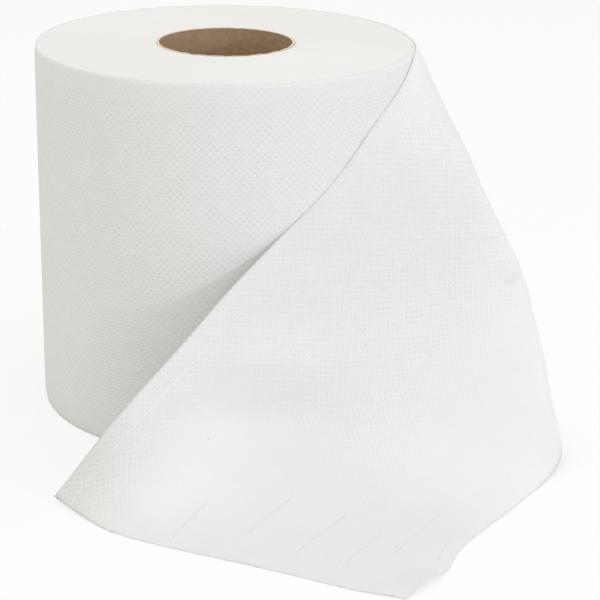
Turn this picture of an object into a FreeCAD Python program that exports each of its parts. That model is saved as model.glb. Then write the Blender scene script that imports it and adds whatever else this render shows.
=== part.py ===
import FreeCAD, Part
import math
import os

# Paper towel roll: a wound web of embossed paper on a kraft core, with its free end pulled
# down over the front and lying on the table.  Millimetres, +Z up, the roll's axis is Z and
# its lower end face is z = 0.  The person using it stands on the -Y side.

# ---- driving sizes ----
sheet_width = 194.0      # width of the web, so the height of the roll
roll_radius = 100.0      # outside of the outermost turn
core_bore = 35.0         # inside radius of the kraft core
core_wall = 1.3          # wall of the kraft core
paper = 0.5              # one thickness of embossed two-ply paper
seam_turn = 45.0         # degrees: where the outermost turn stops being part of the wound log
free_length = 316.0      # paper beyond the roll's right-hand side (turn 0)
clearance = 0.6          # the free web stands this far off the turn below it
table_gap = 0.4          # and this far off the table where it lies flat
hem_lift = 0.3           # its lower edge is held just clear of the table
ease_length = 0.5        # how gradually it meets either of them
settle_length = 45.0     # it takes this length to come clear of the seam
held_radius = 10.0       # each place below is held over about this much paper
ring_count = 4           # grooves in each end face that show the turns
ring_depth = 0.5
ring_half_width = 0.45

# ---- how the free web falls ----
# Still on the roll, a place on the web is (back, up): back is the share of the way from turn 0
# back to the seam, and up is hundredths of the sheet width from the web's lower edge.
on_the_roll = [
    (1, 100), (1, 50), (1, 0), (0.57, 100), (0.57, 31), (0.15, 100), (-0.1, 100),
    (0.28, 50), (0.84, 0)]
# Beyond, a place on the web is (along, up) and where it is held is (turn, off, height).
# along, up, off and height are hundredths of the sheet width: along is counted from turn 0,
# up from the web's lower edge, off outwards from the roll's side, height from the table.
# turn is in degrees about the roll's axis, from +X, towards +Y.
back_panel = [(9.3, 46.9, -4.2, 12.4, 47.4), (16, 0, -10, 16.5, 0)]
top_edge = [
    (11.9, 100, -13.5, 0.5, 97.9), (24.2, 100, -26, 0.5, 92.8), (40.2, 100, -41, 0.5, 85.1),
    (52.6, 100, -51, 0.5, 76.8), (73.7, 100, -69, 0.5, 62.9), (87.1, 100, -80, 3.1, 54.6),
    (104.1, 100, -91, 10.8, 44.8), (123.2, 100, -99.5, 22.7, 34.5), (139.7, 100, -106, 33, 23.7)]
right_fold = [
    (19.6, 71.6, -13.5, 16.5, 72.7), (30.4, 46.9, -15, 29.9, 49), (45.4, 23.2, -23, 41.2, 26.8),
    (57.7, 11.3, -29.5, 47.9, 15.5), (67, 0, -31.3, 53.6, 2.6)]
front_panel = [
    (50.5, 60.3, -29.5, 12.4, 45.9), (68.6, 36.6, -37, 25.3, 21.6), (93.8, 67, -65.5, 6.7, 23.7),
    (126.8, 75.8, -90, 20.1, 12.9)]
on_the_table = [
    (101, 38.7, -59, 28.4, 4.6), (126.3, 56.7, -80, 26.8, 4.1), (107.2, 0, -52, 61.1, 0),
    (126.3, 0, -60.5, 68, 0), (140.2, 0, -64, 75.8, 0), (135.1, 24.2, -70, 54.1, 0)]
torn_end = [
    (162.9, 100, -115.5, 40.2, 3.1), (162.9, 90.7, -110.5, 42, 1), (162.9, 79.4, -104.5, 47.2, 0),
    (162.9, 52.1, -90, 56.7, 0), (162.9, 24.7, -78.2, 70.6, 0), (162.9, 15.5, -74.5, 77.3, 0),
    (162.9, 0, -70.2, 84.5, 0)]

under_radius = roll_radius - paper                # outside of the turn below the outermost one
seam_along = -math.radians(seam_turn) * roll_radius
length_grid = 26                                  # stations along the free web
width_grid = 13                                   # stations across it
log_stations = 24                                 # stations round the log's spiral outline


def polar(radius, turn, height):
    """A point from its radius, its turn in degrees and its height."""
    angle = math.radians(turn)
    return [radius * math.cos(angle), radius * math.sin(angle), height]


def solve(rows, targets):
    """Gaussian elimination with pivoting; targets has one column per coordinate."""
    size = len(rows)
    work = [list(rows[i]) + list(targets[i]) for i in range(size)]
    for col in range(size):
        best = max(range(col, size), key=lambda r: abs(work[r][col]))
        work[col], work[best] = work[best], work[col]
        for row in range(col + 1, size):
            factor = work[row][col] / work[col][col]
            if factor:
                work[row] = [a - factor * b for a, b in zip(work[row], work[col])]
    answer = [None] * size
    for row in reversed(range(size)):
        answer[row] = [
            (work[row][size + k] - sum(work[row][c] * answer[c][k] for c in range(row + 1, size)))
            / work[row][row] for k in range(3)]
    return answer


def bending(distance):
    """The deflection of a thin plate at a distance from the place where it is held."""
    spread = distance ** 2 + held_radius ** 2
    return 0.5 * spread * math.log(spread)


def fall_of_web():
    """A function of (along, up) in mm that bends smoothly through every held place."""
    unit = sheet_width / 100.0
    stretch = free_length / torn_end[0][0]
    flat = []
    spots = []
    for back, up in on_the_roll:
        flat.append((back * seam_along, up * unit))
        off = clearance if back < 1 else 0.0
        spots.append(polar(under_radius + off, back * seam_turn, up * unit))
    for along, up, turn, off, height in (back_panel + top_edge + right_fold + front_panel
                                         + on_the_table + torn_end):
        flat.append((along * stretch, up * unit))
        spots.append(polar(under_radius + off * unit, turn, height * unit))
    count = len(flat)
    rows = []
    for a, up in flat:
        rows.append([bending(math.hypot(a - b, up - w)) for b, w in flat] + [1.0, a, up])
    for k in range(3):
        rows.append([(1.0, a, up)[k] for a, up in flat] + [0.0, 0.0, 0.0])
    weights = solve(rows, spots + [[0.0, 0.0, 0.0]] * 3)

    def place(along, up):
        terms = [bending(math.hypot(along - b, up - w)) for b, w in flat] + [1.0, along, up]
        return [sum(terms[i] * weights[i][k] for i in range(count + 3)) for k in range(3)]
    return place


def soft_floor(value, least):
    """value, eased so that it never drops below least."""
    return max(value, least) + ease_length * math.log1p(math.exp(-abs(value - least) / ease_length))


def inner_face_points():
    """Grid of points on the side of the free web that faces the roll and the table."""
    place = fall_of_web()
    grid = []
    for i in range(length_grid):
        along = seam_along + (free_length - seam_along) * i / (length_grid - 1.0)
        run = along - seam_along
        fresh = min(run / settle_length, 1.0)
        lifted = 1.0 - (1.0 - fresh) ** 2
        fallen = fresh * fresh * (3.0 - 2.0 * fresh)
        lying = min(max((along - 0.5 * sheet_width) / (0.2 * sheet_width), 0.0), 1.0)
        row = []
        for j in range(width_grid):
            up = sheet_width * j / (width_grid - 1.0)
            x, y, z = place(along, up)
            off = soft_floor(math.hypot(x, y), under_radius + clearance) - under_radius
            turn = math.degrees(math.atan2(y, x))
            wound = seam_turn - math.degrees(run / roll_radius)
            z = min(z + lying * (soft_floor(z, table_gap) - z), sheet_width)
            row.append(polar(under_radius + lifted * off, wound + fallen * (turn - wound),
                             max(up + fallen * (z - up), hem_lift * fresh)))
        grid.append(row)
    return grid


def outward(grid, i, j):
    """Unit normal of the grid at one point, away from the roll."""
    if i == 0:
        return FreeCAD.Vector(*polar(1.0, seam_turn, 0.0))
    low_i, high_i = max(i - 1, 0), min(i + 1, length_grid - 1)
    low_j, high_j = max(j - 1, 0), min(j + 1, width_grid - 1)
    along = FreeCAD.Vector(*grid[high_i][j]) - FreeCAD.Vector(*grid[low_i][j])
    up = FreeCAD.Vector(*grid[i][high_j]) - FreeCAD.Vector(*grid[i][low_j])
    normal = up.cross(along)
    normal.normalize()
    return normal


def curve_through(spots):
    curve = Part.BSplineCurve()
    curve.interpolate(Points=spots, Parameters=[float(k) for k in range(len(spots))])
    return curve


def surface_through(points):
    """Cubic surface through a grid of points: first along the web, then across it."""
    along = [curve_through(list(line)) for line in zip(*points)]
    nets = zip(*[curve.getPoles() for curve in along])
    across = [curve_through(list(line)) for line in nets]
    surface = Part.BSplineSurface()
    surface.buildFromPolesMultsKnots(
        [curve.getPoles() for curve in across],
        along[0].getMultiplicities(), across[0].getMultiplicities(),
        along[0].getKnots(), across[0].getKnots(), False, False, 3, 3)
    return surface


def free_web():
    """The faces of the free end of the paper, open where it comes off the log at the seam."""
    grid = inner_face_points()
    inner = [[FreeCAD.Vector(*spot) for spot in row] for row in grid]
    outer = [[inner[i][j] + outward(grid, i, j) * paper for j in range(width_grid)]
             for i in range(length_grid)]
    for near_row, far_row in zip(inner, outer):
        for spot in far_row:
            spot.z = min(max(spot.z, near_row[0].z), sheet_width)
    faces = []
    edges = []
    for points in (inner, outer):
        surface = surface_through(points)
        faces.append(surface.toShape())
        u_first, u_last, v_first, v_last = surface.bounds()
        sides = [surface.vIso(v_first), surface.vIso(v_last), surface.uIso(u_last)]
        edges.append([Part.Wire(side.toShape()) for side in sides])
    for near, far in zip(edges[0], edges[1]):
        faces.extend(Part.makeLoft([near, far], False, True).Faces)
    return faces


def wound_web():
    """The wound log: one solid with a spiral outline, bored for the core."""
    outline = []
    for k in range(log_stations + 1):
        share = k / float(log_stations)
        radius = under_radius + paper * share
        outline.append(FreeCAD.Vector(*polar(radius, seam_turn - 360.0 * share, 0.0)))
    spiral = Part.BSplineCurve()
    spiral.interpolate(outline)
    step = Part.makeLine(outline[-1], outline[0])
    face = Part.Face(Part.Wire([spiral.toShape(), step]))
    log = face.extrude(FreeCAD.Vector(0, 0, sheet_width))
    return log.cut(Part.makeCylinder(core_bore + core_wall, sheet_width))


def end_rings(log):
    """Shallow grooves in both end faces, where turns stand a little lower than the rest."""
    first = core_bore + core_wall
    pitch = (roll_radius - first) / (ring_count + 1.0)
    cutters = []
    for k in range(ring_count):
        middle = first + pitch * (k + 1)
        for end, inward in ((0.0, 1.0), (sheet_width, -1.0)):
            corners = [
                FreeCAD.Vector(middle - ring_half_width, 0, end - 0.01 * inward),
                FreeCAD.Vector(middle, 0, end + ring_depth * inward),
                FreeCAD.Vector(middle + ring_half_width, 0, end - 0.01 * inward)]
            groove = Part.Face(Part.makePolygon(corners + corners[:1]))
            cutters.append(groove.revolve(FreeCAD.Vector(0, 0, 0), FreeCAD.Vector(0, 0, 1), 360))
    return log.cut(cutters)


def paper_web():
    """The whole web as one solid: the free end takes the place of the log's step at the seam."""
    step = FreeCAD.Vector(*polar(roll_radius - 0.5 * paper, seam_turn, 0.5 * sheet_width))
    log = [face for face in end_rings(wound_web()).Faces
           if face.CenterOfMass.distanceToPoint(step) > paper]
    shell = Part.makeShell(log + free_web())
    shell.sewShape()
    web = Part.Solid(shell)
    if web.Volume < 0:
        web.reverse()
    return web


def kraft_core():
    """The wound kraft tube that the paper is started on."""
    outside = Part.makeCylinder(core_bore + core_wall, sheet_width)
    return outside.cut(Part.makeCylinder(core_bore, sheet_width))


def report(name, shape):
    box = shape.BoundBox
    print(name, "valid", shape.isValid(), "solids", len(shape.Solids), "volume %.0f" % shape.Volume,
          "x %.1f %.1f y %.1f %.1f z %.2f %.2f" % (box.XMin, box.XMax, box.YMin, box.YMax,
                                                 box.ZMin, box.ZMax))


os.makedirs("parts", exist_ok=True)
for name, shape in (("paper_web", paper_web()), ("core_tube", kraft_core())):
    report(name, shape)
    shape.exportStep("parts/" + name + ".step")
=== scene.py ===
import math
import bpy
import numpy as np
from mathutils import Matrix, Vector


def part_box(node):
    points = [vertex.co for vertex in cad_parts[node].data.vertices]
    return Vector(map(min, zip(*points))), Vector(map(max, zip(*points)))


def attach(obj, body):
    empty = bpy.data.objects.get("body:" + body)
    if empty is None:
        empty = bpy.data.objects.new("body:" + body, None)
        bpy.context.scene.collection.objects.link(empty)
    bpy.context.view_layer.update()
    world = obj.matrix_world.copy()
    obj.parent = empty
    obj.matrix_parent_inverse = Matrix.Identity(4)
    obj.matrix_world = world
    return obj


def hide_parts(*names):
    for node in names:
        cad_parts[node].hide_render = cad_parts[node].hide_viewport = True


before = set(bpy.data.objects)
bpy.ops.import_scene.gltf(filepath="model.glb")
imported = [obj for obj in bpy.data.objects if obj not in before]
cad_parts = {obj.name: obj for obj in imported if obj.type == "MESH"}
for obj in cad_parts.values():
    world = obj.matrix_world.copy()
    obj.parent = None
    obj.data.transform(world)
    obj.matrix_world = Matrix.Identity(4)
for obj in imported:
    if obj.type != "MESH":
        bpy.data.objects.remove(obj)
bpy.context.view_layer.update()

# Paper towel roll standing on end. One sheet of paper wraps the roll once, comes away from it
# and lies on the table; the wound turns and the kraft core are inside it. Metres, Z up.

coreLow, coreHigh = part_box("core_tube")
rollHeight = coreHigh[2] - coreLow[2]
coreOutside = coreHigh[0]
perMetre = 1000.0            # places on the paper are given in millimetres
touching = 0.00002           # pieces that touch are drawn in by this, so that no faces coincide

sheet = dict(
    rollRadius=0.100,        # outside of the outermost turn
    thickness=0.0005,
    seamTurn=45.0,           # degrees: the free end stops being part of the log here
    freeLength=0.316,        # paper beyond the roll's right-hand side
    dotAlong=0.0018,         # half the repeat of the embossing along the web
    dotAcross=0.0019,        # and across it
    dotDepth=0.00010,
    clearance=0.00004,       # between the free end and the turn below it
    easeLength=0.0002,       # how gradually it comes to rest on what is below it
    hemThickness=0.00009,    # the free edges are pressed thin
    hemReach=0.0045,
    settleLength=0.045,      # paper that it takes to come clear of the seam
    tableGap=0.00003,        # what is left under the paper that lies on the table
    hemLift=0.00003,         # the lowest that the free end's inner face comes
    heldRadius=0.010,        # how rounded the paper is at a held place
    lieFrom=0.097,           # from here on the paper may meet the table
    lieFull=0.136,
    rimTuck=0.0007,          # the sawn rims are pressed in a little
    rimReach=0.0025,
    tuckWhole=-0.06,         # they are up to here along the web, and aren't from the next place on
    tuckGone=0.03,
    tearWander=0.00022,      # how ragged the torn end is
    tearColumns=3.5,         # how far that reaches, in columns of the grid
    nibRows=3,
    cleanFrom=0.145,         # one corner came away clean
    cleanFull=0.172,
    cleanShare=0.85,
    unevenHeight=0.00010,
    unevenWaves=14,
    unevenShortest=0.014,
    unevenLongest=0.04,
    unevenFrom=0.02,
    unevenFull=0.10,
    edgeReach=0.009,         # how far the ripples of the lower edge reach into the paper
    seed=7,
)

# where the free end is held. On the roll, a place is (share of the way from turn 0 back to
# the seam, height). Beyond, it is (along, up) on the flat paper, then turn in degrees about
# the axis, distance off the roll's side and height. Millimetres.
onTheRoll = [(1, 194), (1, 97), (1, 0), (0.57, 194), (0.57, 60), (0.15, 194), (-0.1, 194),
             (0.28, 97), (0.84, 0)]
pressedBy = 0.25             # how tightly the paper is held where it is still on the roll
heldPlaces = dict(
    backPanel=[(18, 91, -4.2, 24, 92), (31, 0, -10, 32, 0)],
    topEdge=[(23, 194, -13.5, -0.1, 190), (47, 194, -26, -0.1, 180), (78, 194, -41, -0.1, 165),
             (102, 194, -51, 0, 149), (143, 194, -69, 0.6, 122), (169, 194, -80, 6, 106),
             (202, 194, -91, 21, 87), (239, 194, -99.5, 44, 67), (271, 194, -106, 64, 46)],
    rightFold=[(38, 139, -13.5, 32, 141), (59, 91, -15, 58, 95), (88, 45, -23, 80, 52),
               (112, 22, -29.5, 93, 30), (130, 0, -31.3, 104, 5)],
    frontPanel=[(98, 117, -29.5, 24, 89), (133, 71, -37, 49, 42), (182, 130, -65.5, 13, 46),
                (246, 147, -90, 39, 25)],
    onTheTable=[(196, 75, -59, 55, 9), (245, 110, -80, 52, 8), (208, 0, -52, 118.5, 0),
                (245, 0, -60.1, 133, 0), (272, 0, -63.8, 147.4, 0), (262, 47, -70, 105, 0)],
    tornEnd=[(316, 194, -116.3, 73, 3), (316, 176, -110.8, 80.5, 1), (316, 154, -104.5, 91.5, 0),
             (316, 101, -90, 110, 0), (316, 48, -78.2, 137, 0), (316, 30, -74.5, 150, 0),
             (316, 0, -70.2, 164, 0)],
)

# ripples of the lower edge: (along, height, half width). Swells and dents of the hanging paper:
# (along, up, height, half length, half width, turn on the paper). Millimetres and degrees.
edgeRipples = [(286, 3.3, 8), (299, 2.4, 8), (224, 0.5, 9), (196, 0.6, 12)]
swells = [(74, 80, -2.0, 9, 3, 14),          # the buckle at the right-hand fold
          (58, 92, -1.2, 14, 7, 45),
          (68, 72, 0.9, 13, 10, 45),
          (47, 116, 0.8, 16, 9, 45),
          (190, 148, 3.5, 40, 12, 45),       # a swell, and the valley beside it, on the front panel
          (208, 129, -7.5, 40, 12, 45)]

seamAlong = -math.radians(sheet["seamTurn"]) * sheet["rollRadius"]
sheetStart = seamAlong - 2 * math.pi * sheet["rollRadius"]
sheetLength = sheet["freeLength"] - sheetStart
underRadius = sheet["rollRadius"] - sheet["thickness"]


def polarPoints(radius, turn, height):
    angle = np.radians(turn)
    return np.stack([radius * np.cos(angle), radius * np.sin(angle), height], axis=-1)


def plateBend(distance):
    spread = distance ** 2 + sheet["heldRadius"] ** 2
    return 0.5 * spread * np.log(spread)


def fallOfSheet():
    # a smooth map from the flat paper to space through every held place
    onRoll = [(back * seamAlong * perMetre, up, back * sheet["seamTurn"],
               -pressedBy * (back < 1), up) for back, up in onTheRoll]
    rows = np.array(onRoll + [row for group in heldPlaces.values() for row in group], float)
    flat = rows[:, :2] / perMetre
    spots = polarPoints(underRadius + rows[:, 3] / perMetre, rows[:, 2], rows[:, 4] / perMetre)
    count = len(rows)
    spread = plateBend(np.linalg.norm(flat[:, None] - flat[None], axis=2))
    plane = np.hstack([np.ones((count, 1)), flat])
    system = np.block([[spread, plane], [plane.T, np.zeros((3, 3))]])
    weights = np.linalg.solve(system, np.vstack([spots, np.zeros((3, 3))]))

    def place(along, up):
        points = np.stack([along.ravel(), up.ravel()], axis=1)
        reach = plateBend(np.linalg.norm(points[:, None] - flat[None], axis=2))
        solid = np.hstack([np.ones((len(points), 1)), points])
        return (reach @ weights[:count] + solid @ weights[count:]).reshape(along.shape + (3,))
    return place


fallen = fallOfSheet()


def softFloor(value, least):
    ease = sheet["easeLength"]
    return least + ease * np.logaddexp(0.0, (value - least) / ease)


def smoothStep(low, high, value):
    t = np.clip((value - low) / (high - low), 0.0, 1.0)
    return t * t * (3.0 - 2.0 * t)


def innerFace(along, up):
    # the paper's face towards the roll, before the paper has slid to rest
    s = sheet
    wound = s["seamTurn"] - np.degrees((along - seamAlong) / s["rollRadius"])
    turnsBack = np.clip((seamAlong - along) / (2 * math.pi * s["rollRadius"]), 0, 1)
    onLog = polarPoints(underRadius - s["thickness"] * turnsBack, wound, up)
    free = fallen(along, up)
    run = np.maximum(along - seamAlong, 0.0)
    fresh = np.minimum(run / s["settleLength"], 1.0)
    lifted = 1 - (1 - fresh) ** 2
    away = fresh * fresh * (3 - 2 * fresh)
    turn = np.degrees(np.arctan2(free[..., 1], free[..., 0]))
    # the turn below is a spiral too, so it stands out a little further on from the seam
    below = s["thickness"] * np.clip((s["seamTurn"] - turn) / 360, 0, 1) + s["clearance"]
    off = softFloor(np.hypot(free[..., 0], free[..., 1]) - underRadius, below)
    lying = np.clip((along - s["lieFrom"]) / (s["lieFull"] - s["lieFrom"]), 0, 1)
    z = free[..., 2]
    z = np.minimum(z + lying * (softFloor(z, s["tableGap"]) - z), rollHeight)
    height = np.maximum(up + away * (z - up), s["hemLift"] * fresh)
    loose = polarPoints(underRadius + lifted * off, wound + away * (turn - wound), height)
    return np.where((along > seamAlong)[..., None], loose, onLog)


slide = dict(
    cell=0.006,              # the size of the flat cells
    rounds=160,
    longest=0.002,           # and the longest step in one round
    push=1.2,
    probe=0.0005,            # how far to the sides the slope of the paper is read
    shortest=1e-9,           # three floors that keep the divisions sound
    slopeFloor=1e-6,
    spreadFloor=1e-3,
)


def slidePaper():
    # paper doesn't stretch: its flat grid slides within the fall until the cells keep their size
    s = slide
    alongCount = round(sheet["freeLength"] / s["cell"]) + 1
    upCount = round(rollHeight / s["cell"]) + 1
    along = np.linspace(0, sheet["freeLength"], alongCount)
    up = np.linspace(0, rollHeight, upCount)
    restAlong, restUp = np.meshgrid(along, up, indexing="ij")
    cell = (along[1], up[1])
    nowAlong, nowUp = restAlong.copy(), restUp.copy()
    first, last, every = slice(0, -1), slice(1, None), slice(None)
    ties = [((first, every), (last, every), cell[0]), ((every, first), (every, last), cell[1]),
            ((first, first), (last, last), math.hypot(*cell)),
            ((last, first), (first, last), math.hypot(*cell))]
    for _ in range(s["rounds"]):
        spots = innerFace(nowAlong, nowUp)
        pull = np.zeros_like(spots)
        shares = np.zeros(spots.shape[:2])
        for here, there, length in ties:
            gap = spots[there] - spots[here]
            reach = np.linalg.norm(gap, axis=-1, keepdims=True)
            move = 0.5 * (reach - length) / np.maximum(reach, s["shortest"]) * gap
            pull[here] += move
            pull[there] -= move
            shares[here] += 1
            shares[there] += 1
        pull /= shares[..., None]
        high = np.minimum(nowUp + s["probe"], rollHeight)
        low = np.maximum(nowUp - s["probe"], 0)
        byAlong = (innerFace(nowAlong + s["probe"], nowUp)
                   - innerFace(nowAlong - s["probe"], nowUp)) / (2 * s["probe"])
        byUp = (innerFace(nowAlong, high) - innerFace(nowAlong, low)) / (high - low)[..., None]
        aa = (byAlong * byAlong).sum(-1) + s["slopeFloor"]
        au = (byAlong * byUp).sum(-1)
        uu = (byUp * byUp).sum(-1) + s["slopeFloor"]
        wantAlong = (pull * byAlong).sum(-1)
        wantUp = (pull * byUp).sum(-1)
        spread = np.maximum(aa * uu - au * au, s["spreadFloor"])
        stepAlong = np.clip((uu * wantAlong - au * wantUp) / spread, -s["longest"], s["longest"])
        stepUp = np.clip((aa * wantUp - au * wantAlong) / spread, -s["longest"], s["longest"])
        stepAlong[0] = stepAlong[-1] = stepUp[0] = 0
        stepUp[:, 0] = stepUp[:, -1] = 0
        nowAlong += s["push"] * stepAlong
        nowUp += s["push"] * stepUp
    return cell, nowAlong - restAlong, nowUp - restUp


def splineWeights(count, places):
    # weights that carry a cubic spline through evenly spaced values to places between them
    inside = 4 * np.eye(count - 2) + np.eye(count - 2, k=1) + np.eye(count - 2, k=-1)
    bend = np.zeros((count, count))
    bend[1:-1] = np.linalg.solve(inside, 6 * np.diff(np.eye(count), 2, axis=0))
    left = np.clip(np.floor(places).astype(int), 0, count - 2)
    t = (places - left)[:, None]
    unit = np.eye(count)
    return ((1 - t) * unit[left] + t * unit[left + 1]
            + ((1 - t) ** 3 - (1 - t)) / 6 * bend[left] + (t ** 3 - t) / 6 * bend[left + 1])


def gridNormals(points):
    normal = np.cross(np.gradient(points, axis=1), np.gradient(points, axis=0))
    return normal / np.linalg.norm(normal, axis=2, keepdims=True)


def unevenness(along, up, rng):
    # the free end is a little wavy: a few long ripples at odd angles, none of them on the roll
    s = sheet
    height = np.zeros_like(along)
    for _ in range(s["unevenWaves"]):
        angle = rng.uniform(0, math.pi)
        phase = rng.uniform(0, 2 * math.pi)
        length = rng.uniform(s["unevenShortest"], s["unevenLongest"])
        run = along * math.cos(angle) + up * math.sin(angle)
        height += np.cos(run * 2 * math.pi / length + phase)
    free = smoothStep(s["unevenFrom"], s["unevenFull"], along)
    return s["unevenHeight"] * height / math.sqrt(s["unevenWaves"] / 2) * free


def placed(name, data):
    made = bpy.data.objects.new(name, data)
    bpy.context.collection.objects.link(made)
    return made


def smoothMesh(name, vertices, faces):
    mesh = bpy.data.meshes.new(name)
    mesh.from_pydata(vertices.tolist(), [], faces)
    mesh.polygons.foreach_set("use_smooth", [True] * len(faces))
    mesh.update()
    return mesh


def quads(grid, sense):
    # the faces of a grid of vertex numbers, wound one way or the other
    corners = [grid[:-1, :-1], grid[:-1, 1:], grid[1:, 1:], grid[1:, :-1]]
    if sense < 0:
        corners = [corners[0], corners[3], corners[2], corners[1]]
    return np.stack(corners, axis=-1).reshape(-1, 4).tolist()


def ovalPlace(alongFrom, upFrom, halfLength, halfWidth, turn):
    # a place on the paper as seen from the middle of a turned oval, in the oval's half sizes
    angle = math.radians(turn)
    lengthwise = (alongFrom * math.cos(angle) + upFrom * math.sin(angle)) / halfLength
    crosswise = (upFrom * math.cos(angle) - alongFrom * math.sin(angle)) / halfWidth
    return lengthwise, crosswise


def tornEdge(up, rng):
    # how far each row of the grid is torn off: nibs left by the perforation, some of them wider
    s = sheet
    tear = rng.uniform(-1, 1, len(up))
    wider = rng.uniform(-1, 1, (len(up) - 1) // s["nibRows"] + 2)
    tear += np.repeat(wider, s["nibRows"])[:len(up)]
    return s["tearWander"] * tear * (1 - s["cleanShare"] * smoothStep(s["cleanFrom"], s["cleanFull"], up))


def riseOfPaper(along, up, rng):
    # what stands up from the smooth fall of the paper
    rise = unevenness(along, up, rng)
    for alongAt, upAt, height, *sizes in swells:
        lengthwise, crosswise = ovalPlace(along * perMetre - alongAt, up * perMetre - upAt, *sizes)
        rise += height / perMetre * np.exp(-lengthwise ** 2 - crosswise ** 2)
    return rise


def embossing(columns, rows):
    # how deep each point of the outer grid is pressed: every other one, in diagonal rows
    i, j = np.meshgrid(np.arange(columns + 1), np.arange(rows + 1), indexing="ij")
    edge = np.minimum(np.minimum(i, columns - i), np.minimum(j, rows - j))
    return np.where((edge > 0) & ((i + j) % 2 == 0), sheet["dotDepth"], 0.0)


def tuckRims(face, along, up):
    # the sawn rims of the turn that is still on the roll are pressed in
    s = sheet
    tuck = np.exp(-(rollHeight - up) / s["rimReach"]) + np.exp(-up / s["rimReach"])
    tuck *= s["rimTuck"] * smoothStep(s["tuckGone"], s["tuckWhole"], along)
    face[..., :2] *= (1 - tuck / np.hypot(face[..., 0], face[..., 1]))[..., None]


def facesBetween(front, rear):
    # the two faces of the paper, and its four edges, where the fine grid of the outer face
    # meets the coarser one of the inner face
    faces = quads(front, 1) + quads(rear, -1)
    hems = ((front[:, 0], rear[:, 0], 1), (front[:, -1], rear[:, -1], -1),
            (front[0, :], rear[0, :], -1), (front[-1, :], rear[-1, :], 1))
    for fine, coarse, sense in hems:
        for k in range(len(coarse) - 1):
            strip = [(fine[2 * k], fine[2 * k + 1], coarse[k]),
                     (fine[2 * k + 1], coarse[k + 1], coarse[k]),
                     (fine[2 * k + 1], fine[2 * k + 2], coarse[k + 1])]
            faces += [tuple(int(v) for v in tri[::sense]) for tri in strip]
    return faces


def layOut(mesh, along, up):
    # each point's place on the flat paper, for the embossing and the marks
    flat = np.stack([along - sheetStart, up], axis=-1)
    flat = np.vstack([flat.reshape(-1, 2), flat[::2, ::2].reshape(-1, 2)])
    layer = mesh.uv_layers.new(name="flatPaper")
    corner = np.empty(len(mesh.loops), dtype=np.int32)
    mesh.loops.foreach_get("vertex_index", corner)
    layer.data.foreach_set("uv", flat[corner].astype(np.float32).ravel())


def buildSheet():
    s = sheet
    rng = np.random.default_rng(s["seed"])
    columns = 2 * round(sheetLength / s["dotAlong"] / 2)
    rows = 2 * round(rollHeight / s["dotAcross"] / 2)
    along = sheetStart + sheetLength * np.arange(columns + 1) / columns
    up = rollHeight * np.arange(rows + 1) / rows
    alongGrid, upGrid = np.meshgrid(along, up, indexing="ij")
    nearEnd = smoothStep(columns - s["tearColumns"], columns, np.arange(columns + 1))
    alongGrid = alongGrid + nearEnd[:, None] * tornEdge(up, rng)

    cell, alongShift, upShift = slidePaper()
    acrossWeights = splineWeights(upShift.shape[1], up / cell[1])
    alongWeights = splineWeights(upShift.shape[0], np.clip(along, 0, s["freeLength"]) / cell[0])
    inner = innerFace(alongGrid + alongWeights @ alongShift @ acrossWeights.T,
                      upGrid + alongWeights @ upShift @ acrossWeights.T)
    inner += gridNormals(inner) * riseOfPaper(alongGrid, upGrid, rng)[..., None]
    for alongAt, height, halfWidth in edgeRipples:
        apart = (alongGrid * perMetre - alongAt) / halfWidth
        inner[..., 2] += height / perMetre * np.exp(-apart ** 2 - upGrid / s["edgeReach"])
    inner[..., 2] = np.clip(inner[..., 2], np.where(alongGrid > 0, s["hemLift"], 0), rollHeight)

    toEdge = np.minimum(np.minimum(upGrid, rollHeight - upGrid), s["freeLength"] - alongGrid)
    pressed = (1 - smoothStep(0, s["hemReach"], toEdge)) * smoothStep(seamAlong, 0, alongGrid)
    solid = s["thickness"] + (s["hemThickness"] - s["thickness"]) * pressed
    solid -= embossing(columns, rows) * (1 - pressed)
    outer = inner + gridNormals(inner) * solid[..., None]
    tuckRims(inner, alongGrid, upGrid)
    tuckRims(outer, alongGrid, upGrid)
    outer[..., 2] = np.clip(outer[..., 2], 0, rollHeight)

    back = inner[::2, ::2]
    front = np.arange(outer[..., 0].size).reshape(outer.shape[:2])
    rear = front.size + np.arange(back[..., 0].size).reshape(back.shape[:2])
    faces = facesBetween(front, rear)
    mesh = smoothMesh("towelSheet", np.vstack([outer.reshape(-1, 3), back.reshape(-1, 3)]), faces)
    layOut(mesh, alongGrid, upGrid)
    print("sheet:", len(faces), "faces, flat length", round(sheetLength, 4))
    return placed("towelSheet", mesh)


def addNode(tree, kind, settings=None, inputs=None):
    # each input is a socket to link from, or a value
    made = tree.nodes.new(kind)
    for name, value in (settings or {}).items():
        setattr(made, name, value)
    for key, value in (inputs or {}).items():
        if isinstance(value, bpy.types.NodeSocket):
            tree.links.new(value, made.inputs[key])
        else:
            made.inputs[key].default_value = value
    return made.outputs


class Wire:
    # a node socket that can be used in an expression

    def __init__(self, graph, socket):
        self.graph = graph
        self.socket = socket

    def maths(self, operation, *others):
        inputs = dict(enumerate((self,) + others))
        return self.graph.node("ShaderNodeMath", {"operation": operation}, inputs)

    def __add__(self, other):
        return self.maths("ADD", other)

    __radd__ = __add__

    def __sub__(self, other):
        return self.maths("SUBTRACT", other)

    def __rsub__(self, other):
        return self.graph.node("ShaderNodeMath", {"operation": "SUBTRACT"}, {0: other, 1: self})

    def __mul__(self, other):
        return self.maths("MULTIPLY", other)

    __rmul__ = __mul__

    def __truediv__(self, other):
        return self.maths("DIVIDE", other)

    def nearWhole(self):
        # signed distance to the nearest whole number
        return (self + 0.5).maths("FRACT") - 0.5

    def between(self, low, high):
        return self.graph.node("ShaderNodeMapRange", {"interpolation_type": "SMOOTHSTEP"},
                               {"Value": self, "From Min": low, "From Max": high})

    def line(self, place, halfWidth):
        # a soft line where the value passes a place
        return (1 - ((self - place) / halfWidth).maths("ABSOLUTE")).maths("MAXIMUM", 0.0)


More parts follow.
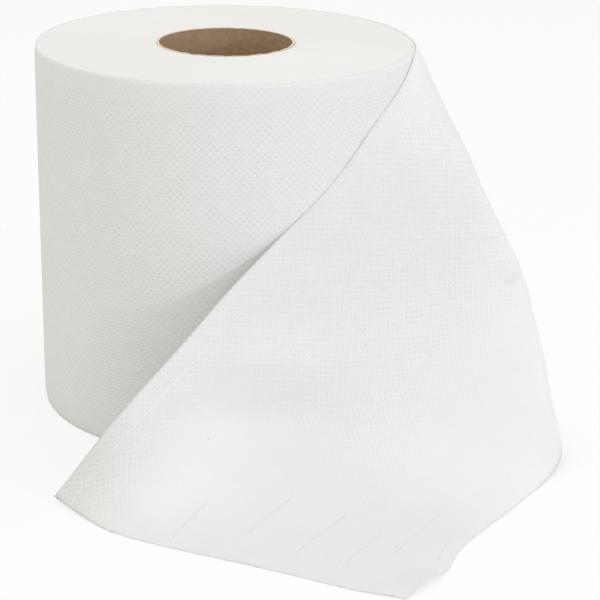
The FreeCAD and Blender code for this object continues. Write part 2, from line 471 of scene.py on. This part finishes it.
class Graph:
    # the nodes of one material

    def __init__(self, name):
        self.material = bpy.data.materials.new(name)
        self.material.use_nodes = True
        self.tree = self.material.node_tree
        self.tree.nodes.clear()

    def node(self, kind, settings=None, inputs=None, output=0):
        plain = {key: value.socket if isinstance(value, Wire) else value
                 for key, value in (inputs or {}).items()}
        return Wire(self, addNode(self.tree, kind, settings, plain)[output])

    def objectPlace(self):
        return self.node("ShaderNodeTexCoord", output="Object")

    def axes(self, vector):
        split = self.node("ShaderNodeSeparateXYZ", None, {"Vector": vector})
        return [Wire(self, out) for out in split.socket.node.outputs]

    def noise(self, place, scale, detail):
        return self.node("ShaderNodeTexNoise", None,
                         {"Vector": place, "Scale": scale, "Detail": detail})

    def mixed(self, factor, first, second):
        return self.node("ShaderNodeMix", {"data_type": "RGBA"},
                         {0: factor, 6: self.colour(first), 7: self.colour(second)}, output=2)

    def colour(self, value):
        return value if isinstance(value, Wire) else (*value, 1.0)

    def bump(self, height):
        return self.node("ShaderNodeBump", None, {"Strength": 1.0, "Distance": 1.0, "Height": height})

    def surface(self, colour, roughness, specular, bump):
        shader = self.node("ShaderNodeBsdfPrincipled", None, {
            "Base Color": colour, "Roughness": roughness, "Specular IOR Level": specular,
            "Normal": bump})
        return self.finish(shader)

    def finish(self, shader):
        addNode(self.tree, "ShaderNodeOutputMaterial", None, {"Surface": shader.socket})
        return self.material


paper = dict(
    colour=(0.893, 0.908, 0.908),
    roughness=0.95,
    specular=0.15,
    cloudScale=45.0,                     # faint clouds in the colour
    cloudRange=(0.3, 0.7),
    cloudShade=0.985,
    fibreScale=1100.0,
    fibreHeight=0.00002,

    dotShadeColour=(0.815, 0.828, 0.823),     # painted shade at the bottom of the embossed dots
    dotHeight=0.00016,
    dotInner=0.02,                       # the dot's radii in repeats of the embossing
    dotOuter=0.50,
    dotLength=0.62,                      # the dots are longer along the web than across it
    dotWidth=1.15,
    wanderScale=260.0,                   # the rows of dots aren't quite straight
    wander=0.22,
    wanderAcross=0.6,
    patchScale=190.0,                    # and the dots aren't all pressed as deep
    patchRange=(0.30, 0.62),
    patchLeast=0.6,
    patchMore=0.45,

    wornShare=0.72,                      # worn where it was handled: along the web's lower edge
    lowAlong=(0.0, 0.05),
    lowUp=(0.045, 0.110),
    endAlong=(0.175, 0.235),             # and near its end
    endUp=(0.150, 0.180),
    # the paper is greyer near the torn end, below its upper part
    endGreyColour=(0.80, 0.815, 0.815),
    endGreyShare=0.5,
    endGreyUp=(0.095, 0.150),

    marginFrom=0.1835,                   # the smooth margin along the web's upper edge
    marginSoft=0.001,
    marginShare=0.4,                     # of the dots' depth that it lacks on the roll
    rollUntil=(-0.02, 0.10),             # where along the web it comes away from the roll
    borderHalf=0.0006,                   # half the width of the line along the margin's edge
    borderShare=0.1,                     # its strength on the roll
    borderUntil=(0.0, 0.1),
    # a painted highlight along the margin's raised edge where the paper hangs free
    ridgeHighlightColour=(0.97, 0.98, 0.98),
    ridgeHighlightShare=0.8,
    ridgeHeight=0.00004,
    ridgeAlong=(0.19, 0.25),

    creaseShadeAndSpeckColour=(0.70, 0.71, 0.71),       # painted shade in the pressed lines, along the margin's edge and in the buckle; the specks' own dark colour
    markShare=0.5,
    creaseHeight=0.00010,
    lineHalf=0.00055,
    lineFade=0.008,
    swayScale=60.0,                      # the lines wander and break off
    sway=0.003,
    breakScale=130.0,
    breakRange=(0.25, 0.55),
    breakLeast=0.4,
    breakMore=0.6,
    speckStrength=1.6,
    buckleStrength=0.5,
)

# faint pressed lines along the web near its torn end, pressed in and darkened with painted shade: (up,
# first along, last along, strength), and specks in the pulp, in their own dark colour: (along, up,
# radius). Millimetres.
pressedLines = [(8, 231, 266, 0.9), (26, 214, 272, 1.0), (41, 244, 304, 0.9), (66, 238, 308, 1.0),
                (95, 238, 292, 1.0), (125, 272, 314, 0.9), (58, 292, 312, 0.6)]
specks = [(243, 66, 1.5), (258, 29, 1.3), (272, 188, 0.8), (246, 148, 0.8), (150, 118, 0.8)]
# where the hanging paper buckled, darkened there with painted shade: (along, up, half length, half width,
# turn on the paper)
buckles = [(74, 80, 11, 2.4, 14)]


def embossedPaper():
    p = paper
    g = Graph("embossedPaper")
    place = g.objectPlace()
    along, up, _ = g.axes(g.node("ShaderNodeUVMap", {"uv_map": "flatPaper"}))
    beyond = along + sheetStart                  # measured from the roll's right-hand side
    wander = (g.noise(place, p["wanderScale"], 2.0) - 0.5) * p["wander"]
    first = along / (2 * sheet["dotAlong"]) + wander
    second = up / (2 * sheet["dotAcross"]) + wander * p["wanderAcross"]
    a = (first + second).nearWhole()
    b = (first - second).nearWhole()
    lengthwise = (a + b) * p["dotLength"]
    crosswise = (a - b) * p["dotWidth"]
    reach = ((lengthwise * lengthwise + crosswise * crosswise) * 0.5).maths("SQRT")
    dot = 1 - reach.between(p["dotInner"], p["dotOuter"])
    patchy = g.noise(place, p["patchScale"], 2.0).between(*p["patchRange"]) * p["patchMore"]
    lowSide = (1 - up.between(*p["lowUp"])) * beyond.between(*p["lowAlong"])
    nearEnd = beyond.between(*p["endAlong"]) * (1 - up.between(*p["endUp"]))
    worn = lowSide.maths("MAXIMUM", nearEnd) * p["wornShare"]
    margin = up.between(p["marginFrom"] - p["marginSoft"], p["marginFrom"] + p["marginSoft"])
    smooth = margin * (1 - beyond.between(*p["rollUntil"])) * p["marginShare"]
    dot = dot * (patchy + p["patchLeast"]) * (1 - smooth) * (1 - worn)
    fibre = g.noise(place, p["fibreScale"], 4.0)
    cloud = g.noise(place, p["cloudScale"], 3.0)
    # where the paper hangs free the margin's edge stands up as a pale line of painted highlight; on the
    # roll it is a faint pressed line darkened with painted shade
    border = up.line(p["marginFrom"], p["borderHalf"])
    ridge = border * beyond.between(*p["ridgeAlong"])
    lines = border * (1 - beyond.between(*p["borderUntil"])) * p["borderShare"]
    swayed = up + (g.noise(place, p["swayScale"], 1.0) - 0.5) * p["sway"]
    broken = g.noise(place, p["breakScale"], 2.0).between(*p["breakRange"]) * p["breakMore"]
    broken = broken + p["breakLeast"]
    for upAt, firstAlong, lastAlong, strength in pressedLines:
        low, high = firstAlong / perMetre, lastAlong / perMetre
        reached = (beyond.between(low, low + p["lineFade"])
                   * (1 - beyond.between(high - p["lineFade"], high)))
        pressed = swayed.line(upAt / perMetre, p["lineHalf"])
        lines = lines + pressed * reached * broken * strength
    for alongAt, upAt, radius in specks:
        da, du = beyond - alongAt / perMetre, up - upAt / perMetre
        apart = (da * da + du * du).maths("SQRT")
        lines = lines + (1 - apart.between(0.0, radius / perMetre)) * p["speckStrength"]
    for alongAt, upAt, *sizes in buckles:
        da, du = (beyond - alongAt / perMetre) * perMetre, (up - upAt / perMetre) * perMetre
        lengthwise, crosswise = ovalPlace(da, du, *sizes)
        apart = (lengthwise * lengthwise + crosswise * crosswise).maths("SQRT")
        lines = lines + (1 - apart.between(0.0, 1.0)) * p["buckleStrength"]
    height = (fibre * p["fibreHeight"] - lines * p["creaseHeight"] - dot * p["dotHeight"]
              + ridge * p["ridgeHeight"])
    clouded = [p["cloudShade"] * share for share in p["colour"]]
    colour = g.mixed(cloud.between(*p["cloudRange"]), p["colour"], clouded)
    # greyer near the torn end, below its upper part
    endGrey = nearEnd * (1 - up.between(*p["endGreyUp"])) * p["endGreyShare"]
    colour = g.mixed(endGrey, colour, p["endGreyColour"])
    # painted shade at the bottom of the embossed dots
    colour = g.mixed(dot, colour, p["dotShadeColour"])
    # painted shade in the pressed lines, the margin's edge and the buckle, and the specks' own dark
    # colour
    colour = g.mixed(lines * p["markShare"], colour, p["creaseShadeAndSpeckColour"])
    # painted highlight along the margin's raised edge
    colour = g.mixed(ridge * p["ridgeHighlightShare"], colour, p["ridgeHighlightColour"])
    return g.surface(colour, p["roughness"], p["specular"], g.bump(height))


turns = dict(
    pitch=0.0005,
    paperShare=0.98,         # of the pitch that the paper fills
    endGap=0.0002,           # how far the turns stop short of each end
    stationsPerTurn=72,
    endUnevenness=0.00014,
    unevenPerMetre=260.0,
    unevenMiddle=0.62,       # above the noise's mean, so that few edges stand proud
    seed=3.0,
    colour=(0.970, 0.970, 0.950),
    shade=(0.950, 0.950, 0.925),
    toneRange=(0.32, 0.68),
    fibreScale=600.0,
    fibreHeight=0.00006,
    sweepAlong=9.0,          # the saw's streaks: the noise's scale along and across them,
    sweepAcross=60.0,
    sweepLean=0.35,          # and how far they turn away from the x axis
    sweepHeight=0.0001,
)


def sawnPaper():
    t = turns
    g = Graph("sawnPaper")
    place = g.objectPlace()
    x, y, _ = g.axes(place)
    fibre = g.noise(place, t["fibreScale"], 5.0)
    sweep = g.node("ShaderNodeCombineXYZ", None, {
        "X": (x * t["sweepLean"] + y) * t["sweepAcross"],
        "Y": (x - y * t["sweepLean"]) * t["sweepAlong"]})
    streak = g.noise(sweep, 1.0, 3.0)
    tone = (fibre * 0.5 + streak * 0.5).between(*t["toneRange"])
    height = fibre * t["fibreHeight"] + streak * t["sweepHeight"]
    colour = g.mixed(tone, t["shade"], t["colour"])
    return g.surface(colour, paper["roughness"], paper["specular"], g.bump(height))


def buildTurns():
    # the wound web inside the sheet, one spiral ribbon made with Geometry Nodes
    outside = underRadius - 0.5 * sheet["thickness"] - touching
    inside = coreOutside + 0.5 * turns["pitch"] - touching
    tree = bpy.data.node_groups.new("woundTurns", "GeometryNodeTree")
    for name, kind in (("Inside radius", "Float"), ("Outside radius", "Float"), ("Turns", "Float"),
                       ("Stations", "Int"), ("Thickness", "Float"), ("Width", "Float"),
                       ("Unevenness", "Float"), ("Seed", "Float"), ("Paper", "Material")):
        tree.interface.new_socket(name, in_out="INPUT", socket_type="NodeSocket" + kind)
    tree.interface.new_socket("Geometry", in_out="OUTPUT", socket_type="NodeSocketGeometry")

    def node(kind, settings=None, inputs=None):
        return addNode(tree, kind, settings, inputs)

    size = node("NodeGroupInput")
    spiral = node("GeometryNodeCurveSpiral", None, {
        "Resolution": size["Stations"], "Rotations": size["Turns"],
        "Start Radius": size["Inside radius"], "End Radius": size["Outside radius"],
        "Height": 0.0, "Reverse": True})
    section = node("GeometryNodeCurvePrimitiveQuadrilateral", {"mode": "RECTANGLE"},
                   {"Width": size["Thickness"], "Height": size["Width"]})
    level = node("GeometryNodeSetCurveNormal", {"mode": "Z_UP"}, {"Curve": spiral[0]})
    ribbon = node("GeometryNodeCurveToMesh", None, {
        "Curve": level[0], "Profile Curve": section[0], "Fill Caps": True})
    place = node("GeometryNodeInputPosition")
    flat = node("ShaderNodeVectorMath", {"operation": "MULTIPLY"}, {0: place[0], 1: (1.0, 1.0, 0.0)})
    radius = node("ShaderNodeVectorMath", {"operation": "LENGTH"}, {0: flat[0]})
    scaled = node("ShaderNodeMath", {"operation": "MULTIPLY"},
                  {0: radius["Value"], 1: turns["unevenPerMetre"]})
    shifted = node("ShaderNodeMath", {"operation": "ADD"}, {0: scaled[0], 1: size["Seed"]})
    noise = node("ShaderNodeTexNoise", {"noise_dimensions": "1D"},
                 {"W": shifted[0], "Scale": 1.0, "Detail": 3.0})
    centred = node("ShaderNodeMath", {"operation": "SUBTRACT"},
                   {0: noise[0], 1: turns["unevenMiddle"]})
    offset = node("ShaderNodeMath", {"operation": "MULTIPLY"}, {0: centred[0], 1: size["Unevenness"]})
    lift = node("ShaderNodeCombineXYZ", None, {"Z": offset[0]})
    moved = node("GeometryNodeSetPosition", None, {"Geometry": ribbon[0], "Offset": lift[0]})
    real = node("GeometryNodeRealizeInstances", None, {"Geometry": moved[0]})
    finished = node("GeometryNodeSetMaterial", None, {"Geometry": real[0], "Material": size["Paper"]})
    node("NodeGroupOutput", None, {"Geometry": finished[0]})

    holder = placed("turnsHolder", bpy.data.meshes.new("turnsHolder"))
    modifier = holder.modifiers.new("woundTurns", "NODES")
    modifier.node_group = tree
    values = {"Inside radius": inside, "Outside radius": outside,
              "Turns": float(round((outside - inside) / turns["pitch"])),
              "Stations": turns["stationsPerTurn"],
              "Thickness": turns["pitch"] * turns["paperShare"],
              "Width": rollHeight - 2 * turns["endGap"], "Unevenness": turns["endUnevenness"],
              "Seed": turns["seed"], "Paper": sawnPaper()}
    for item in tree.interface.items_tree:
        if item.in_out == "INPUT":
            modifier[item.identifier] = values[item.name]
    seen = holder.evaluated_get(bpy.context.evaluated_depsgraph_get())
    mesh = bpy.data.meshes.new_from_object(seen)
    mesh.name = "woundTurns"
    bpy.data.objects.remove(holder)
    mesh.transform(Matrix.Translation((0, 0, rollHeight / 2))
                   @ Matrix.Rotation(math.radians(sheet["seamTurn"]), 4, "Z"))
    print("wound turns:", len(mesh.polygons), "faces")
    return placed("woundTurns", mesh)


core = dict(
    wall=0.0012,
    around=120,
    levels=65,
    stripPitch=0.062,        # the board strips are wound at this pitch
    seamStep=0.00015,        # with a groove this deep along the joint on the inside,
    seamShare=0.06,          # and this wide in turns
    nibble=0.00035,          # how far the saw chipped the inner rim
    nibbleFrom=-1.2,         # the lower this is, the fewer chips there are
    sharpAngle=50,
    seed=11,
    dark=(0.37, 0.25, 0.15),
    light=(0.60, 0.445, 0.295),
    edge=(0.84, 0.75, 0.62),
    edgeDepth=0.0004,
    edgeFull=0.25,           # of that depth where the cut edge's colour is whole
    roughness=0.85,
    specular=0.25,
    fleckScale=420.0,
    fleckShare=0.6,
    fleckHeight=0.00012,
    cloudScale=70.0,
    jointWidth=0.006,
    jointShare=0.45,
    jointHeight=0.00015,
)


def kraftBoard():
    c = core
    g = Graph("kraftBoard")
    place = g.objectPlace()
    x, y, z = g.axes(place)
    fleck = g.noise(place, c["fleckScale"], 6.0)
    cloud = g.noise(place, c["cloudScale"], 3.0)
    tone = (fleck * c["fleckShare"] + cloud * (1 - c["fleckShare"])).between(0.0, 1.0)
    wall = g.mixed(tone, c["dark"], c["light"])
    # the strips of board are wound in a spiral, and the joint is a slightly darker line
    turn = y.maths("ARCTAN2", x) / (2 * math.pi)
    joint = (turn - z / c["stripPitch"]).nearWhole().line(0.0, c["jointWidth"])
    wall = g.mixed(joint * c["jointShare"], wall, c["dark"])
    half = rollHeight / 2
    fromMiddle = (z - half).maths("ABSOLUTE")
    cut = fromMiddle.between(half - c["edgeDepth"], half - c["edgeFull"] * c["edgeDepth"])
    height = fleck * c["fleckHeight"] - joint * c["jointHeight"]
    return g.surface(g.mixed(cut, wall, c["edge"]), c["roughness"], c["specular"], g.bump(height))


def buildCore():
    c = core
    rng = np.random.default_rng(c["seed"])
    around = c["around"]
    theta = 2 * math.pi * np.arange(around) / around
    chips = c["nibble"] * np.maximum(rng.uniform(c["nibbleFrom"], 1, around), 0)
    rings = []
    for radius, direction in ((coreOutside - touching, 1), (coreOutside - c["wall"], -1)):
        for z in np.linspace(0, rollHeight, c["levels"])[::direction]:
            wind = np.mod(theta / (2 * math.pi) - z / c["stripPitch"], 1.0)
            step = c["seamStep"] * smoothStep(c["seamShare"], 0.0, wind) * (direction < 0)
            height = np.full(around, z)
            if direction < 0 and z == rollHeight:
                height -= chips
            rings.append(polarPoints(radius + step, np.degrees(theta), height))
    count = len(rings)
    faces = []
    for k in range(count):
        here, there = k * around, (k + 1) % count * around
        for m in range(around):
            n = (m + 1) % around
            faces.append((here + m, here + n, there + n, there + m))
    mesh = smoothMesh("kraftCore", np.vstack(rings), faces)
    mesh.set_sharp_from_angle(angle=math.radians(c["sharpAngle"]))
    print("core:", len(faces), "faces")
    return placed("kraftCore", mesh)


towelSheet = buildSheet()
towelSheet.data.materials.append(embossedPaper())
woundTurns = buildTurns()
kraftCore = buildCore()
kraftCore.data.materials.append(kraftBoard())

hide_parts("paper_web")
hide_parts("paper_web")
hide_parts("core_tube")
for piece, slotName in ((towelSheet, "towel_paper"), (woundTurns, "towel_paper"),
                        (kraftCore, "kraft_board")):
    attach(piece, "root")

studio = dict(
    floorSize=8.0,
    floorBelow=0.00003,
    floorLit=0.88,           # what the floor gives back to the object
    floorShown=0.70,         # of its own white that the camera sees; the rest shows its shadows
    sky=(0.769, 0.740, 0.669),
    aim=(0.03, -0.06, 0.08),
    lamps=dict(
        key=dict(place=(1.55, -1.25, 0.60), size=0.05, power=(4.2, 4.7, 5.8)),
        side=dict(place=(1.77, -0.64, 0.73), size=0.9, power=(0.45, 0.5, 0.95)),
        top=dict(place=(0.10, -0.10, 2.20), size=1.6, power=(7.9, 8.8, 11.0)),
    ),
)


def buildStudio():
    s = studio
    half, low = s["floorSize"] / 2, -s["floorBelow"]
    mesh = bpy.data.meshes.new("studioFloor")
    corners = [(-half, -half, low), (half, -half, low), (half, half, low), (-half, half, low)]
    mesh.from_pydata(corners, [], [(0, 1, 2, 3)])
    floor = placed("studioFloor", mesh)
    g = Graph("studioFloor")
    seen = g.node("ShaderNodeLightPath", output="Is Camera Ray")
    lit = g.node("ShaderNodeBsdfDiffuse", None,
                 {"Color": g.mixed(seen, (s["floorLit"],) * 3, (1.0, 1.0, 1.0))})
    white = g.node("ShaderNodeEmission", None, {"Strength": 1.0})
    floor.data.materials.append(g.finish(
        g.node("ShaderNodeMixShader", None, {0: seen * s["floorShown"], 1: lit, 2: white})))

    # the camera sees white where the object sees the sky
    world = bpy.data.worlds.new("studioWorld")
    bpy.context.scene.world = world
    world.use_nodes = True
    tree = world.node_tree
    tree.nodes.clear()
    path = addNode(tree, "ShaderNodeLightPath")
    tint = addNode(tree, "ShaderNodeMix", {"data_type": "RGBA"},
                   {0: path["Is Camera Ray"], 6: (*s["sky"], 1.0), 7: (1.0, 1.0, 1.0, 1.0)})
    sky = addNode(tree, "ShaderNodeBackground", None, {"Color": tint[2]})
    addNode(tree, "ShaderNodeOutputWorld", None, {"Surface": sky[0]})

    for name, lamp in s["lamps"].items():
        light = bpy.data.lights.new(name + "Lamp", "AREA")
        light.shape = "DISK"
        light.size = lamp["size"]
        strongest = max(lamp["power"])
        light.energy = strongest
        light.color = [share / strongest for share in lamp["power"]]
        holder = placed(name + "Lamp", light)
        holder.location = lamp["place"]
        towards = Vector(s["aim"]) - holder.location
        holder.rotation_euler = towards.to_track_quat("-Z", "Y").to_euler()
    print("studio: floor, sky and", len(s["lamps"]), "lamps")


view = dict(
    place=(0.0409, -1.0, 0.4059),
    pitchDown=19.57,         # degrees
    roll=0.81,
    lens=115.76,             # millimetres, on a sensor this wide
    sensor=36.0,
    nearest=0.05,
    farthest=50.0,
)


def buildCamera():
    lens = bpy.data.cameras.new("camera")
    lens.sensor_width = view["sensor"]
    lens.lens = view["lens"]
    lens.clip_start = view["nearest"]
    lens.clip_end = view["farthest"]
    camera = placed("camera", lens)
    camera.location = view["place"]
    tilt = Matrix.Rotation(math.radians(90 - view["pitchDown"]), 3, "X")
    camera.rotation_euler = (tilt @ Matrix.Rotation(math.radians(view["roll"]), 3, "Z")).to_euler()
    bpy.context.scene.camera = camera
    print("camera set")


buildStudio()
buildCamera()
bpy.context.scene.view_settings.view_transform = "Standard"
